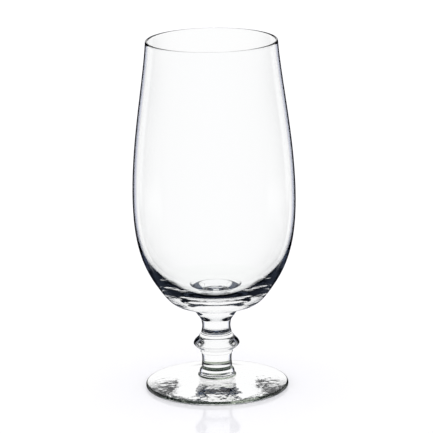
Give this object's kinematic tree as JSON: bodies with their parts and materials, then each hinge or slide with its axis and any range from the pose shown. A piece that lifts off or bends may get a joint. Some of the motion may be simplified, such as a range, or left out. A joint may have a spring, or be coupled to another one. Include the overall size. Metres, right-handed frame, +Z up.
{
  "type": "stemmed beer glass",
  "caption": "Clear stemmed beer glass: tall barrel bowl with a rounded rim and thick base, fused to a short knopped stem and a disc foot.",
  "frame": {"origin": "middle of the plane that the foot stands on", "axes": "+Z up along the axis of revolution, from the foot to the rim"},
  "size_m": [0.0816, 0.0816, 0.178],
  "materials": {
    "bowl_glass": "clear blown glass, fire polished",
    "stem_glass": "clear solid glass, fire polished",
    "foot_glass": "clear solid glass, fire polished"
  },
  "bodies": {
    "root": {"bowl": "bowl_glass", "stem": "stem_glass", "foot": "foot_glass"}
  },
  "joints": []
}
